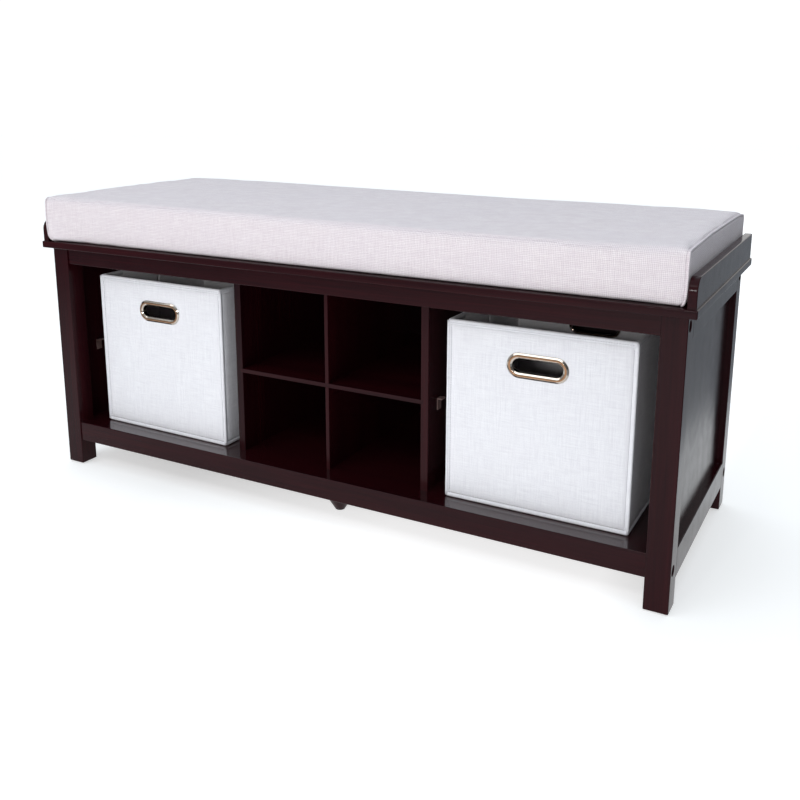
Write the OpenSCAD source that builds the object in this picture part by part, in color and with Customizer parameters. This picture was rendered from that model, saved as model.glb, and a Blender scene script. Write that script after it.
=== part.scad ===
// Storage bench: a panelled wooden frame with four cubbies, two fabric bins on its shelf
// and a loose box cushion. The origin is on the floor under the middle of the bench.
// +X is the right end, -Y is the front, +Z is up. Every length is in millimetres.

/* [Bench] */
// Width of the seat board, end to end
board_w = 1067; // [1060:1:1100]
// Depth of the seat board, front to back
board_d = 402; // [396:1:420]
// Height of the seat board's upper face above the floor
seat_h = 394.5; // [394:0.5:420]
// Thickness of the seat board
board_t = 11; // [10:0.5:12]
// Overhang of the seat board past the legs, at each end
end_overhang = 11.5; // [8:0.5:14]
// Overhang of the seat board past the legs, front and back
face_overhang = 12.5; // [8:0.5:14]
// Side of a square leg
leg_side = 32; // [30:1:36]

/* [Rails and panels] */
// Thickness of every rail of the frame
rail_t = 20; // [18:1:22]
// How far the long rails lie behind the faces of the legs
rail_recess = 2; // [0:0.5:4]
// Height of the apron under the seat board
apron_h = 26.9; // [22:0.1:30]
// Lower edge of the front and rear lower rails
long_rail_z = 44; // [36:1:48]
// Upper face of the bottom shelf
shelf_z = 77; // [74:1:79]
// Thickness of the bottom shelf
shelf_t = 12; // [10:1:14]
// Height of a side top rail
side_top_h = 33.5; // [28:0.5:36]
// Lower edge of a side lower rail
side_rail_z = 38; // [32:1:42]
// Upper edge of a side lower rail
side_rail_top = 79; // [78:1:84]
// Thickness of a side panel
panel_t = 9; // [8:0.5:10]
// How far a side panel lies behind the outer faces of the legs
panel_recess = 9; // [8:0.5:10]
// Thickness of the hardboard back panel
back_t = 3.5; // [3:0.5:4]

/* [Cubbies] */
// Clear width between the two dividers
cubby_span = 314; // [300:1:320]
// Thickness of a divider
divider_t = 12; // [10:1:14]
// Distance from the seat board's front edge to the front of the dividers
divider_setback = 47; // [42:1:60]
// Thickness of the cubby upright and the cubby shelf
lap_t = 6; // [5:0.5:6]
// Lower face of the cubby shelf
cubby_shelf_z = 207.5; // [190:0.5:230]

/* [End rails] */
// Height of an end rail above the seat board
end_rail_h = 37; // [30:1:45]
// Thickness of an end rail
end_rail_t = 11; // [10:0.5:12]
// Radius of the front top corner of an end rail
end_rail_r = 17; // [10:1:25]

/* [Cushion] */
// Height of the cushion at its edges
cushion_h = 70; // [60:1:90]
// Depth of the cushion, front to back
cushion_d = 372; // [360:1:376]
// Radius of the cushion's upright corners
cushion_r = 14; // [8:1:24]

/* [Bins] */
// Outer width, depth and height of a bin
bin_side = 260; // [250:1:262]
// Middle of the left bin, left of the bench's centre line
left_bin_x = 324; // [318:0.5:344]
// Middle of the right bin, right of the bench's centre line
right_bin_x = 327.5; // [318:0.5:344]
// Distance from the bench's centre line to the front wall of a bin
bin_front_y = 153; // [140:1:160]
// How far the left bin is turned about the vertical, in degrees
left_bin_turn = -0.7; // [-1:0.1:1]
// How far the right bin is turned about the vertical, in degrees
right_bin_turn = 0.2; // [-1:0.1:1]
// Outer length of a metal ring round a hand slot
ring_w = 86; // [80:1:90]
// Outer height of a metal ring
ring_h = 35; // [33:1:38]
// Width of the flat band of a metal ring
ring_band = 8; // [7:0.5:9]
// Height of a ring's centre above the underside of the bin
ring_z = 207.5; // [180:0.5:215]

/* [Hidden] */
$fn = 48;

// Frame
leg_x = board_w / 2 - end_overhang;
leg_in_x = leg_x - leg_side;
leg_y = board_d / 2 - face_overhang;
leg_in_y = leg_y - leg_side;
leg_top = seat_h - board_t;
glide_h = 1.5;
rail_y = leg_y - rail_recess;
rail_in_y = rail_y - rail_t;
rail_mid_y = rail_y - rail_t / 2;
side_rail_x = leg_x - rail_t;
side_rail_mid_x = leg_x - rail_t / 2;
apron_z = leg_top - apron_h;
side_top_z = leg_top - side_top_h;
shelf_under = shelf_z - shelf_t;

// Panels let into grooves
panel_x = leg_x - panel_recess;
panel_in_x = panel_x - panel_t;
panel_groove = 6;
back_groove = 4;
groove_play = 0.3;
back_y = rail_in_y + 5;
back_in_y = back_y + back_t;

// Cubbies
divider_x = cubby_span / 2;
divider_out_x = divider_x + divider_t;
divider_y = -board_d / 2 + divider_setback;
divider_back_y = back_y - groove_play;
lap_groove = 4;
lap_play = 0.1;
lap_mid_y = (divider_y + divider_back_y) / 2;
cubby_shelf_top = cubby_shelf_z + lap_t;

// Centre feet: radius at each height, from the floor up
foot_y = 121;
foot_toe_r = 8.5;
foot_ankle_r = 19;
foot_ankle_z = 18.5;
foot_ball_r = 27;
foot_ball_z = 33;
foot_ball_top = 38;
foot_neck_r = 20;
foot_neck_z = 42;
foot_bolt_d = 8;
foot_bolt_z = 45;
foot_bolt_top = shelf_z - 5;

// Connector bolts through the legs, with barrel nuts in the rails
bolt_z_low = 57;
bolt_z_high = apron_z + apron_h / 2;
bolt_d = 6;
bolt_play = 0.4;
bolt_head_d = 12;
bolt_head_h = 4;
bolt_key_d = 5;
bolt_sink_d = 14;
bolt_sink = 6;
bolt_len = 60;
bolt_seat_x = leg_x - bolt_sink;
nut_d = 10;
nut_len = 14;
nut_hole_play = 0.2;
nut_x = bolt_seat_x - bolt_len + 6;
nut_y = rail_in_y + 3;

// Dowels
dowel_d = 6;
dowel_len = 24;
frame_dowel_d = 8;
frame_dowel_zs = [side_rail_z + 10, side_rail_top - 12, side_top_z + 11, leg_top - 9];
rail_dowel_zs = [66.5, leg_top - 5];
shelf_dowel_d = 5;
shelf_dowel_z = shelf_z - 7;
shelf_dowel_xs = [133, 400];
shelf_dowel_y = 80;
divider_dowel_x = divider_x + divider_t / 2;
divider_dowel_low = shelf_z - 8;
divider_dowel_high = leg_top + 7;
divider_low_ys = [-110, 0, 110];
divider_high_ys = [-110, 110];
end_dowel_ys = [-150, 0, 150];
end_dowel_z = seat_h - 8;
end_dowel_len = 20;

// Battens and screws
batten = 18;
batten_half = 140;
batten_x = side_rail_x - batten;
batten_z = leg_top - batten;
screw_d = 4;
screw_head_d = 8;
screw_head_h = 2.4;
screw_play = 0.1;
board_screw_ys = [-110, 0, 110];
board_screw_top = leg_top + 7.5;
rail_screw_ys = [-60, 60];
rail_screw_x = side_rail_x + 12;
back_screw_d = 3;
back_screw_head_d = 7;
back_screw_head_h = 2;
back_screw_zs = [120, 217, 310];
back_screw_len = 14;

// Glides
glide_pin_d = 3;
glide_pin_h = 12;
leg_glide_d = 22;
foot_glide_d = 15;

// Shelf pegs in the walls of the bays
peg_y = 120;
peg_top = 210;
peg_h = 18;
peg_w = 11;
peg_plate = 1.5;
peg_ledge = 8;
peg_ledge_t = 2;
peg_pin_d = 5;
peg_pin_len = 7;

// End rails and cushion
end_rail_x = leg_x - 1.5;
end_rail_half = board_d / 2 - 2.5;
cushion_gap = 1.2;
rest_gap = 0.3;
cushion_x = end_rail_x - cushion_gap;
cushion_z = seat_h + rest_gap;
cover_t = 1.5;

// Bins, in a bin's own frame: the origin is the middle of its underside
bin_half = bin_side / 2;
bin_z = shelf_z + rest_gap;
bin_r = 6;
cloth_t = 1.2;
board_half = bin_half - cloth_t;
wall_board_t = 3;
wall_board_top = bin_side - 4;
lining_half = board_half - wall_board_t;
lining_t = 0.8;
lining_r = 1;
rim_half = lining_half - lining_t;
tape_z = wall_board_top;
base_half = rim_half - 2.5;
base_r = 3;
base_t = 3;
base_z = cloth_t + lining_t + 0.2;
hole_w = ring_w - 2 * ring_band;
hole_h = ring_h - 2 * ring_band;
ring_t = 2.2;
barrel_t = 1;
barrel_play = 0.3;
back_ring_t = 1.6;
back_ring_inset = 2;

wood = "#2d1416";
raw_wood = "#b58f62";
hardboard = "#3a2420";
steel = "#6d6f72";
black_steel = "#1c1c1e";
ring_metal = "#b9a88f";
plastic = "#b9aeac";
cushion_cloth = "#dcd6da";
foam = "#efe3b0";
bin_cloth = "#e9e7e6";
lining_cloth = "#77757a";
board_grey = "#8d8577";

// ---- helpers ----

// A box between two corners
module block(lo, hi) translate(lo) cube(hi - lo);

// Round bars along each axis
module bar_x(x0, x1, y, z, d) translate([x0, y, z]) rotate([0, 90, 0]) cylinder(d = d, h = x1 - x0);
module bar_y(y0, y1, x, z, d) translate([x, y0, z]) rotate([-90, 0, 0]) cylinder(d = d, h = y1 - y0);
module bar_z(z0, z1, x, y, d) translate([x, y, z0]) cylinder(d = d, h = z1 - z0);

// Everything is drawn at the right end or the front, and mirrored to the other
module to_left() mirror([1, 0, 0]) children();
module to_rear() mirror([0, 1, 0]) children();
module both_ends() {
    children();
    to_left() children();
}
module front_and_rear() {
    children();
    to_rear() children();
}

// A rectangle with round corners, centred
module round_rect(w, d, r) {
    square([w - 2 * r, d], center = true);
    square([w, d - 2 * r], center = true);
    for (x = [-1, 1], y = [-1, 1])
        translate([x * (w / 2 - r), y * (d / 2 - r)]) circle(r);
}

// A slot with round ends, centred
module stadium(w, h) {
    square([w - h, h], center = true);
    for (x = [-1, 1])
        translate([x * (w - h) / 2, 0]) circle(h / 2);
}

// ---- holes shared by the pieces that meet ----

// Shanks, heads and nut pockets of the bolts at the front right corner
module bolt_holes() {
    for (z = [bolt_z_low, bolt_z_high]) {
        bar_x(bolt_seat_x - bolt_len - 2, leg_x + 1, -rail_mid_y, z, bolt_d + bolt_play);
        bar_x(bolt_seat_x, leg_x + 1, -rail_mid_y, z, bolt_sink_d);
        bar_y(-nut_y - nut_len, -rail_in_y + 1, nut_x, z, nut_d + nut_hole_play);
    }
}

// Dowels between a side frame's rails and its front leg
module side_frame_dowel_set() {
    for (z = frame_dowel_zs)
        bar_y(-leg_in_y - dowel_len / 2, -leg_in_y + dowel_len / 2, side_rail_mid_x, z, frame_dowel_d);
}

// Dowels between the front rails and the right leg
module rail_dowel_set() {
    for (z = rail_dowel_zs)
        bar_x(leg_in_x - dowel_len / 2, leg_in_x + dowel_len / 2, -rail_mid_y, z, dowel_d);
}

// Dowels round a quarter of the bottom shelf
module shelf_dowel_set() {
    for (x = shelf_dowel_xs)
        bar_y(-rail_in_y - dowel_len / 2, -rail_in_y + dowel_len / 2, x, shelf_dowel_z, shelf_dowel_d);
    bar_x(side_rail_x - dowel_len / 2, side_rail_x + dowel_len / 2,
          -shelf_dowel_y, shelf_dowel_z, shelf_dowel_d);
}

// Dowels at both ends of the right divider
module divider_dowel_set() {
    for (y = divider_low_ys)
        bar_z(divider_dowel_low, divider_dowel_low + dowel_len, divider_dowel_x, y, dowel_d);
    for (y = divider_high_ys)
        bar_z(divider_dowel_high - dowel_len, divider_dowel_high, divider_dowel_x, y, dowel_d);
}

// Dowels under the right end rail
module end_dowel_set() {
    for (y = end_dowel_ys)
        bar_z(end_dowel_z, end_dowel_z + end_dowel_len, end_rail_x + end_rail_t / 2, y, dowel_d);
}

// Shanks of the right batten's screws
module batten_shanks(d) {
    for (y = board_screw_ys)
        bar_z(batten_z, board_screw_top, batten_x + batten / 2, y, d);
    for (y = rail_screw_ys)
        bar_x(batten_x, rail_screw_x, y, batten_z + batten / 2, d);
}

// Shanks of the screws from the back panel into the right divider
module back_screw_shanks(d) {
    for (z = back_screw_zs)
        bar_y(back_in_y - back_screw_len, back_in_y, divider_dowel_x, z, d);
}

// The pins of the shelf pegs in the walls of the right bay
module peg_pins() {
    for (y = [-peg_y, peg_y]) {
        bar_x(panel_in_x, panel_in_x + peg_pin_len, y, peg_top - peg_h / 2, peg_pin_d);
        bar_x(divider_out_x - peg_pin_len, divider_out_x, y, peg_top - peg_h / 2, peg_pin_d);
    }
}

// ---- seat board and end rails ----

module seat_board() {
    color(wood) difference() {
        block([-board_w / 2, -board_d / 2, leg_top], [board_w / 2, board_d / 2, seat_h]);
        both_ends() {
            end_dowel_set();
            divider_dowel_set();
            batten_shanks(screw_d + screw_play);
        }
    }
}

module end_rail() {
    corner_y = -end_rail_half + end_rail_r;
    rail_top = seat_h + end_rail_h;
    outer_x = end_rail_x + end_rail_t;
    color(wood) difference() {
        union() {
            block([end_rail_x, corner_y, seat_h], [outer_x, end_rail_half, rail_top]);
            block([end_rail_x, -end_rail_half, seat_h], [outer_x, corner_y, rail_top - end_rail_r]);
            bar_x(end_rail_x, outer_x, corner_y, rail_top - end_rail_r, 2 * end_rail_r);
        }
        end_dowel_set();
    }
}
module right_end_rail() end_rail();
module left_end_rail() to_left() end_rail();

// ---- legs ----

// A leg at the front right corner
module leg() {
    difference() {
        block([leg_in_x, -leg_y, glide_h], [leg_x, -leg_in_y, leg_top]);
        block([panel_in_x, -leg_in_y - panel_groove, side_rail_top - panel_groove],
              [panel_x, -leg_in_y + 1, side_top_z + panel_groove]);
        bolt_holes();
        side_frame_dowel_set();
        rail_dowel_set();
        bar_z(0, glide_h + glide_pin_h, leg_x - leg_side / 2, -leg_y + leg_side / 2, glide_pin_d);
    }
}

// A rear leg also has the groove of the back panel, drawn here at the front
module grooved_leg() {
    difference() {
        leg();
        block([leg_in_x - 1, -back_in_y, shelf_z - back_groove],
              [leg_in_x + back_groove, -back_y, apron_z + back_groove]);
    }
}
module front_right_leg() color(wood) leg();
module front_left_leg() color(wood) to_left() leg();
module rear_right_leg() color(wood) to_rear() grooved_leg();
module rear_left_leg() color(wood) to_left() to_rear() grooved_leg();

// ---- long rails ----

module long_rail(z0, z1) {
    difference() {
        block([-leg_in_x, -rail_y, z0], [leg_in_x, -rail_in_y, z1]);
        both_ends() {
            bolt_holes();
            rail_dowel_set();
            shelf_dowel_set();
        }
    }
}
module back_panel_groove() {
    block([-leg_in_x - 1, -back_in_y, shelf_z - back_groove], [leg_in_x + 1, -back_y, apron_z + back_groove]);
}
module front_apron() color(wood) long_rail(apron_z, leg_top);
module rear_apron() color(wood) to_rear() difference() {
    long_rail(apron_z, leg_top);
    back_panel_groove();
}
module front_lower_rail() color(wood) long_rail(long_rail_z, shelf_z);
module rear_lower_rail() color(wood) to_rear() difference() {
    long_rail(long_rail_z, shelf_z);
    back_panel_groove();
}

// ---- side frames ----

module side_rail(z0, z1) {
    difference() {
        block([side_rail_x, -leg_in_y, z0], [leg_x, leg_in_y, z1]);
        block([panel_in_x, -leg_in_y - 1, side_rail_top - panel_groove],
              [panel_x, leg_in_y + 1, side_top_z + panel_groove]);
        front_and_rear() {
            side_frame_dowel_set();
            shelf_dowel_set();
        }
        batten_shanks(screw_d + screw_play);
    }
}
module right_top_rail() color(wood) side_rail(side_top_z, leg_top);
module left_top_rail() color(wood) to_left() side_rail(side_top_z, leg_top);
module right_lower_rail() color(wood) side_rail(side_rail_z, side_rail_top);
module left_lower_rail() color(wood) to_left() side_rail(side_rail_z, side_rail_top);

module side_panel() {
    reach = panel_groove - groove_play;
    color(wood) difference() {
        block([panel_in_x, -leg_in_y - reach, side_rail_top - reach],
              [panel_x, leg_in_y + reach, side_top_z + reach]);
        peg_pins();
    }
}
module right_side_panel() side_panel();
module left_side_panel() to_left() side_panel();

// ---- shelf, dividers and cubbies ----

module bottom_shelf() {
    color(wood) difference() {
        block([-side_rail_x, -rail_in_y, shelf_under], [side_rail_x, rail_in_y, shelf_z]);
        block([-lap_t / 2, divider_y, shelf_z - lap_groove], [lap_t / 2, rail_in_y + 1, shelf_z + 1]);
        both_ends() {
            divider_dowel_set();
            front_and_rear() {
                block([leg_in_x, -leg_y, shelf_under - 1], [leg_x, -leg_in_y, shelf_z + 1]);
                shelf_dowel_set();
            }
        }
        front_and_rear()
            bar_z(foot_bolt_z, foot_bolt_top, 0, -foot_y, foot_bolt_d);
    }
}

// The part of an upright board's rear edge that the rear apron takes
module apron_notch() {
    block([-leg_in_x, rail_in_y, apron_z], [leg_in_x, rail_y, leg_top + 1]);
}

module divider() {
    color(wood) difference() {
        block([divider_x, divider_y, shelf_z], [divider_out_x, divider_back_y, leg_top]);
        block([divider_x - 1, divider_y - 1, cubby_shelf_z],
              [divider_x + lap_groove, back_y, cubby_shelf_top]);
        apron_notch();
        divider_dowel_set();
        back_screw_shanks(back_screw_d + screw_play);
        peg_pins();
    }
}
module right_divider() divider();
module left_divider() to_left() divider();

module cubby_upright() {
    color(wood) difference() {
        block([-lap_t / 2, divider_y, shelf_z - lap_groove], [lap_t / 2, divider_back_y, leg_top]);
        block([-lap_t, rail_in_y, 0], [lap_t, back_y, shelf_z]);
        apron_notch();
        block([-lap_t, divider_y - 1, cubby_shelf_z - lap_play],
              [lap_t, lap_mid_y, cubby_shelf_top + lap_play]);
    }
}

module cubby_shelf() {
    reach = divider_x + lap_groove;
    color(wood) difference() {
        block([-reach, divider_y, cubby_shelf_z], [reach, divider_back_y, cubby_shelf_top]);
        block([-lap_t / 2 - lap_play, lap_mid_y, cubby_shelf_z - 1],
              [lap_t / 2 + lap_play, back_y, cubby_shelf_top + 1]);
    }
}

module back_panel() {
    reach = back_groove - groove_play;
    color(hardboard) difference() {
        block([-leg_in_x - reach, back_y, shelf_z - reach], [leg_in_x + reach, back_in_y, apron_z + reach]);
        both_ends()
            back_screw_shanks(back_screw_d + screw_play);
    }
}

// ---- battens, feet and glides ----

module board_batten() {
    color(wood) difference() {
        block([batten_x, -batten_half, batten_z], [side_rail_x, batten_half, leg_top]);
        batten_shanks(screw_d + screw_play);
    }
}
module right_board_batten() board_batten();
module left_board_batten() to_left() board_batten();

module centre_foot() {
    color(wood) difference() {
        translate([0, -foot_y, 0]) rotate_extrude() polygon([
            [0, glide_h], [foot_toe_r, glide_h], [foot_ankle_r, foot_ankle_z],
            [foot_ball_r, foot_ball_z], [foot_ball_r, foot_ball_top],
            [foot_neck_r, foot_neck_z], [foot_neck_r, shelf_under], [0, shelf_under]
        ]);
        bar_z(foot_bolt_z, foot_bolt_top, 0, -foot_y, foot_bolt_d);
        bar_z(0, glide_h + glide_pin_h, 0, -foot_y, glide_pin_d);
    }
}
module front_centre_foot() centre_foot();
module rear_centre_foot() to_rear() centre_foot();
module foot_bolts() color(steel) front_and_rear() bar_z(foot_bolt_z, foot_bolt_top, 0, -foot_y, foot_bolt_d);

module glide(x, y, d) {
    bar_z(0, glide_h, x, y, d);
    bar_z(0, glide_h + glide_pin_h, x, y, glide_pin_d);
}
module leg_glides() {
    color(black_steel) both_ends() front_and_rear()
        glide(leg_x - leg_side / 2, -leg_y + leg_side / 2, leg_glide_d);
}
module foot_glides() color(black_steel) front_and_rear() glide(0, -foot_y, foot_glide_d);

// ---- fasteners ----

module leg_bolts() {
    color(black_steel) both_ends() front_and_rear() for (z = [bolt_z_low, bolt_z_high]) difference() {
        union() {
            bar_x(bolt_seat_x - bolt_len, bolt_seat_x, -rail_mid_y, z, bolt_d);
            bar_x(bolt_seat_x, bolt_seat_x + bolt_head_h, -rail_mid_y, z, bolt_head_d);
        }
        translate([bolt_seat_x + 1, -rail_mid_y, z]) rotate([0, 90, 0])
            cylinder(d = bolt_key_d, h = bolt_head_h, $fn = 6);
    }
}

module barrel_nuts() {
    color(steel) both_ends() front_and_rear() for (z = [bolt_z_low, bolt_z_high]) difference() {
        bar_y(-nut_y - nut_len + 1, -nut_y, nut_x, z, nut_d);
        bar_x(nut_x - nut_d, nut_x + nut_d, -rail_mid_y, z, bolt_d);
    }
}

module side_frame_dowels() color(raw_wood) both_ends() front_and_rear() side_frame_dowel_set();
module rail_dowels() color(raw_wood) both_ends() front_and_rear() rail_dowel_set();
module shelf_dowels() color(raw_wood) both_ends() front_and_rear() shelf_dowel_set();
module divider_dowels() color(raw_wood) both_ends() divider_dowel_set();
module end_rail_dowels() color(raw_wood) both_ends() end_dowel_set();

module batten_screws() {
    color(steel) both_ends() {
        batten_shanks(screw_d);
        for (y = board_screw_ys)
            bar_z(batten_z - screw_head_h, batten_z, batten_x + batten / 2, y, screw_head_d);
        for (y = rail_screw_ys)
            bar_x(batten_x - screw_head_h, batten_x, y, batten_z + batten / 2, screw_head_d);
    }
}

module back_panel_screws() {
    color(steel) both_ends() {
        back_screw_shanks(back_screw_d);
        for (z = back_screw_zs)
            bar_y(back_in_y, back_in_y + back_screw_head_h, divider_dowel_x, z, back_screw_head_d);
    }
}

// Angled pegs that an extra shelf can rest on: a plate on the wall, a ledge and a pin
module shelf_pegs() {
    plate_z = peg_top - peg_h;
    ledge_z = peg_top - peg_ledge_t;
    color(plastic) both_ends() {
        peg_pins();
        for (y = [-peg_y, peg_y]) {
            y0 = y - peg_w / 2;
            y1 = y + peg_w / 2;
            block([panel_in_x - peg_plate, y0, plate_z], [panel_in_x, y1, peg_top]);
            block([panel_in_x - peg_ledge, y0, ledge_z], [panel_in_x, y1, peg_top]);
            block([divider_out_x, y0, plate_z], [divider_out_x + peg_plate, y1, peg_top]);
            block([divider_out_x, y0, ledge_z], [divider_out_x + peg_ledge, y1, peg_top]);
        }
    }
}

// ---- cushion ----

// The cushion's closed shape, drawn in by a cloth's thickness
module cushion_form(inset) {
    translate([0, 0, cushion_z + inset])
        linear_extrude(cushion_h - 2 * inset)
            round_rect(2 * (cushion_x - inset), cushion_d - 2 * inset, cushion_r - inset);
}
module cushion_cover() color(cushion_cloth) difference() {
    cushion_form(0);
    cushion_form(cover_t);
}
module cushion_foam() color(foam) cushion_form(cover_t);

// ---- bins ----

module at_left_bin() {
    translate([-left_bin_x, bin_half - bin_front_y, bin_z]) rotate([0, 0, left_bin_turn]) children();
}
module at_right_bin() {
    translate([right_bin_x, bin_half - bin_front_y, bin_z]) rotate([0, 0, right_bin_turn]) children();
}

// A shape drawn on the front wall: its profile in X and Z, between two depths
module on_front(y0, y1) {
    translate([0, y1, ring_z]) rotate([90, 0, 0]) linear_extrude(y1 - y0) children();
}

// The slots through the front and rear walls
module hand_slots() {
    front_and_rear() on_front(-bin_half - 1, -rim_half + 1)
        stadium(hole_w + 2 * barrel_t + 2 * barrel_play, hole_h + 2 * barrel_t + 2 * barrel_play);
}

// A square with round corners, given by half its side, drawn up between two heights
module rounded_block(half, r, z0, z1) {
    translate([0, 0, z0]) linear_extrude(z1 - z0) round_rect(2 * half, 2 * half, r);
}

// The sewn tube of outer cloth, and the cloth that closes it below
module bin_cover() color(bin_cloth) difference() {
    rounded_block(bin_half, bin_r, 0, tape_z);
    rounded_block(board_half, bin_r - cloth_t, -1, bin_side);
    hand_slots();
}
module bin_bottom() color(bin_cloth) rounded_block(board_half, bin_r - cloth_t, 0, cloth_t);

module bin_lining() color(lining_cloth) difference() {
    rounded_block(lining_half, lining_r + lining_t, cloth_t, tape_z);
    rounded_block(rim_half, lining_r, cloth_t + lining_t, bin_side);
    hand_slots();
}

// Four boards between cover and lining; the side boards fit between the other two
module bin_wall_boards() color(board_grey) {
    reach = board_half - bin_r;
    difference() {
        front_and_rear()
            block([-reach, -board_half, cloth_t], [reach, -lining_half, wall_board_top]);
        hand_slots();
    }
    both_ends()
        block([lining_half, -reach, cloth_t], [board_half, reach, wall_board_top]);
}

// A loose board on the lining's floor
module bin_base_board() color(lining_cloth) rounded_block(base_half, base_r, base_z, base_z + base_t);

module bin_rim_tape() color(bin_cloth) difference() {
    rounded_block(bin_half, bin_r, tape_z, bin_side);
    rounded_block(rim_half, lining_r, tape_z - 1, bin_side + 1);
}

// A ring with its barrel through the wall, front and rear
module bin_rings() color(ring_metal) front_and_rear() {
    on_front(-bin_half - ring_t, -bin_half) difference() {
        stadium(ring_w, ring_h);
        stadium(hole_w, hole_h);
    }
    on_front(-bin_half, -rim_half + back_ring_t) difference() {
        stadium(hole_w + 2 * barrel_t, hole_h + 2 * barrel_t);
        stadium(hole_w, hole_h);
    }
}

// The plate that each ring's barrel is pressed over, inside the bin
module bin_back_rings() color(ring_metal) front_and_rear()
    on_front(-rim_half, -rim_half + back_ring_t) difference() {
        stadium(ring_w - 2 * back_ring_inset, ring_h - 2 * back_ring_inset);
        stadium(hole_w + 2 * barrel_t, hole_h + 2 * barrel_t);
    }

module left_bin_cover() at_left_bin() bin_cover();
module left_bin_bottom() at_left_bin() bin_bottom();
module left_bin_wall_boards() at_left_bin() bin_wall_boards();
module left_bin_lining() at_left_bin() bin_lining();
module left_bin_base_board() at_left_bin() bin_base_board();
module left_bin_rim_tape() at_left_bin() bin_rim_tape();
module left_bin_rings() at_left_bin() bin_rings();
module left_bin_back_rings() at_left_bin() bin_back_rings();
module right_bin_cover() at_right_bin() bin_cover();
module right_bin_bottom() at_right_bin() bin_bottom();
module right_bin_wall_boards() at_right_bin() bin_wall_boards();
module right_bin_lining() at_right_bin() bin_lining();
module right_bin_base_board() at_right_bin() bin_base_board();
module right_bin_rim_tape() at_right_bin() bin_rim_tape();
module right_bin_rings() at_right_bin() bin_rings();
module right_bin_back_rings() at_right_bin() bin_back_rings();

// ---- which node is drawn ----

seat_board();
left_end_rail();
right_end_rail();
front_left_leg();
front_right_leg();
rear_left_leg();
rear_right_leg();
front_apron();
rear_apron();
front_lower_rail();
rear_lower_rail();
left_top_rail();
right_top_rail();
left_lower_rail();
right_lower_rail();
left_side_panel();
right_side_panel();
bottom_shelf();
left_divider();
right_divider();
cubby_upright();
cubby_shelf();
back_panel();
left_board_batten();
right_board_batten();
front_centre_foot();
rear_centre_foot();
foot_bolts();
leg_glides();
foot_glides();
leg_bolts();
barrel_nuts();
side_frame_dowels();
rail_dowels();
shelf_dowels();
divider_dowels();
end_rail_dowels();
batten_screws();
back_panel_screws();
shelf_pegs();
cushion_cover();
cushion_foam();
left_bin_cover();
left_bin_bottom();
left_bin_wall_boards();
left_bin_lining();
left_bin_base_board();
left_bin_rim_tape();
left_bin_rings();
left_bin_back_rings();
right_bin_cover();
right_bin_bottom();
right_bin_wall_boards();
right_bin_lining();
right_bin_base_board();
right_bin_rim_tape();
right_bin_rings();
right_bin_back_rings();
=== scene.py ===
"""The looks of the storage bench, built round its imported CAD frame.

Lengths are in metres. +X is the right end, -Y is the front and +Z is up. A bin's pieces are made in the
bin's own frame, whose origin is under the middle of the bin, and are then turned and moved to where that
bin stands.
"""

import math

import bmesh
import bpy
import numpy as np
from mathutils import Matrix, Vector, noise


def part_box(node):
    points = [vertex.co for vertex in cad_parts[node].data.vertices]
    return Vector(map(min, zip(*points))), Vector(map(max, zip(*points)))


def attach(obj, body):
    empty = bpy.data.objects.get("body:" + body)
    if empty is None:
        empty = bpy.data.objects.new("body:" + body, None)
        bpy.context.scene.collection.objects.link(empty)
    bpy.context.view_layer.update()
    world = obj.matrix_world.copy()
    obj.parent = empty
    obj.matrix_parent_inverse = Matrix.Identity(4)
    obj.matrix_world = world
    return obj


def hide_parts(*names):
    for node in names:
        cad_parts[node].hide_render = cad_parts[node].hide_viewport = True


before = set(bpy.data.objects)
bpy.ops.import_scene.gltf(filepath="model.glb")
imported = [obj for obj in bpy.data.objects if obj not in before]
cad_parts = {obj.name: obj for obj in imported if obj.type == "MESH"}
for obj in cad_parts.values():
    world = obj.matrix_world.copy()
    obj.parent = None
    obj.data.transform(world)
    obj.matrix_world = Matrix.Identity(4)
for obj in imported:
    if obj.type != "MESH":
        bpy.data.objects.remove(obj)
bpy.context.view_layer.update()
scene = bpy.context.scene
MM = 0.001
SIDES = ("left", "right")

# ---- materials: a small helper, then one function per material ----


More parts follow.
